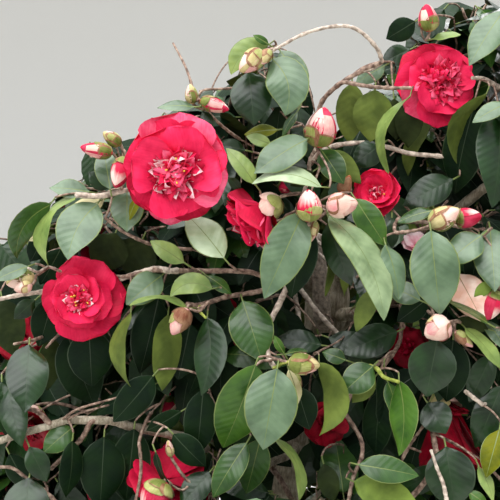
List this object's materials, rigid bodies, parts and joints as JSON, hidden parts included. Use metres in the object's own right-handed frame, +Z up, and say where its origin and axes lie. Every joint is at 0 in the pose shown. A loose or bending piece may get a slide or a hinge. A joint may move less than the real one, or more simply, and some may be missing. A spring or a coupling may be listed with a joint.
{
  "type": "camellia shrub",
  "caption": "Evergreen flowering shrub rooted in the ground: a leaning trunk with a root flare, tapering boughs, and masses of glossy leaves on twigs with large red double blooms.",
  "frame": {"origin": "centre of the flat cut under the trunk, at ground level", "axes": "+Z up, the side that the picture shows faces -Y, +X to the right in the picture"},
  "size_m": [1.0493, 1.0529, 1.6902],
  "materials": {
    "bark": "rough greyish-brown bark",
    "foliage": "glossy leathery leaves, some with red blooms"
  },
  "bodies": {
    "root": {"trunk": "bark", "sawn_stub": "bark", "bough_crest_left": "bark", "foliage_crest_left": "foliage", "bough_crest_right": "bark", "foliage_crest_right": "foliage", "bough_upper_1": "bark", "foliage_upper_1": "foliage", "bough_upper_2": "bark", "foliage_upper_2": "foliage", "bough_upper_3": "bark", "foliage_upper_3": "foliage", "bough_upper_4": "bark", "foliage_upper_4": "foliage", "bough_upper_5": "bark", "foliage_upper_5": "foliage", "bough_middle_1": "bark", "foliage_middle_1": "foliage", "bough_middle_2": "bark", "foliage_middle_2": "foliage", "bough_middle_3": "bark", "foliage_middle_3": "foliage", "bough_middle_4": "bark", "foliage_middle_4": "foliage", "bough_middle_5": "bark", "foliage_middle_5": "foliage", "bough_lower_1": "bark", "foliage_lower_1": "foliage", "bough_lower_2": "bark", "foliage_lower_2": "foliage", "bough_lower_3": "bark", "foliage_lower_3": "foliage", "bough_lower_4": "bark", "foliage_lower_4": "foliage", "bough_lower_5": "bark", "foliage_lower_5": "foliage", "bough_skirt_1": "bark", "foliage_skirt_1": "foliage", "bough_skirt_2": "bark", "foliage_skirt_2": "foliage", "bough_skirt_3": "bark", "foliage_skirt_3": "foliage", "bough_skirt_4": "bark", "foliage_skirt_4": "foliage"}
  },
  "joints": []
}
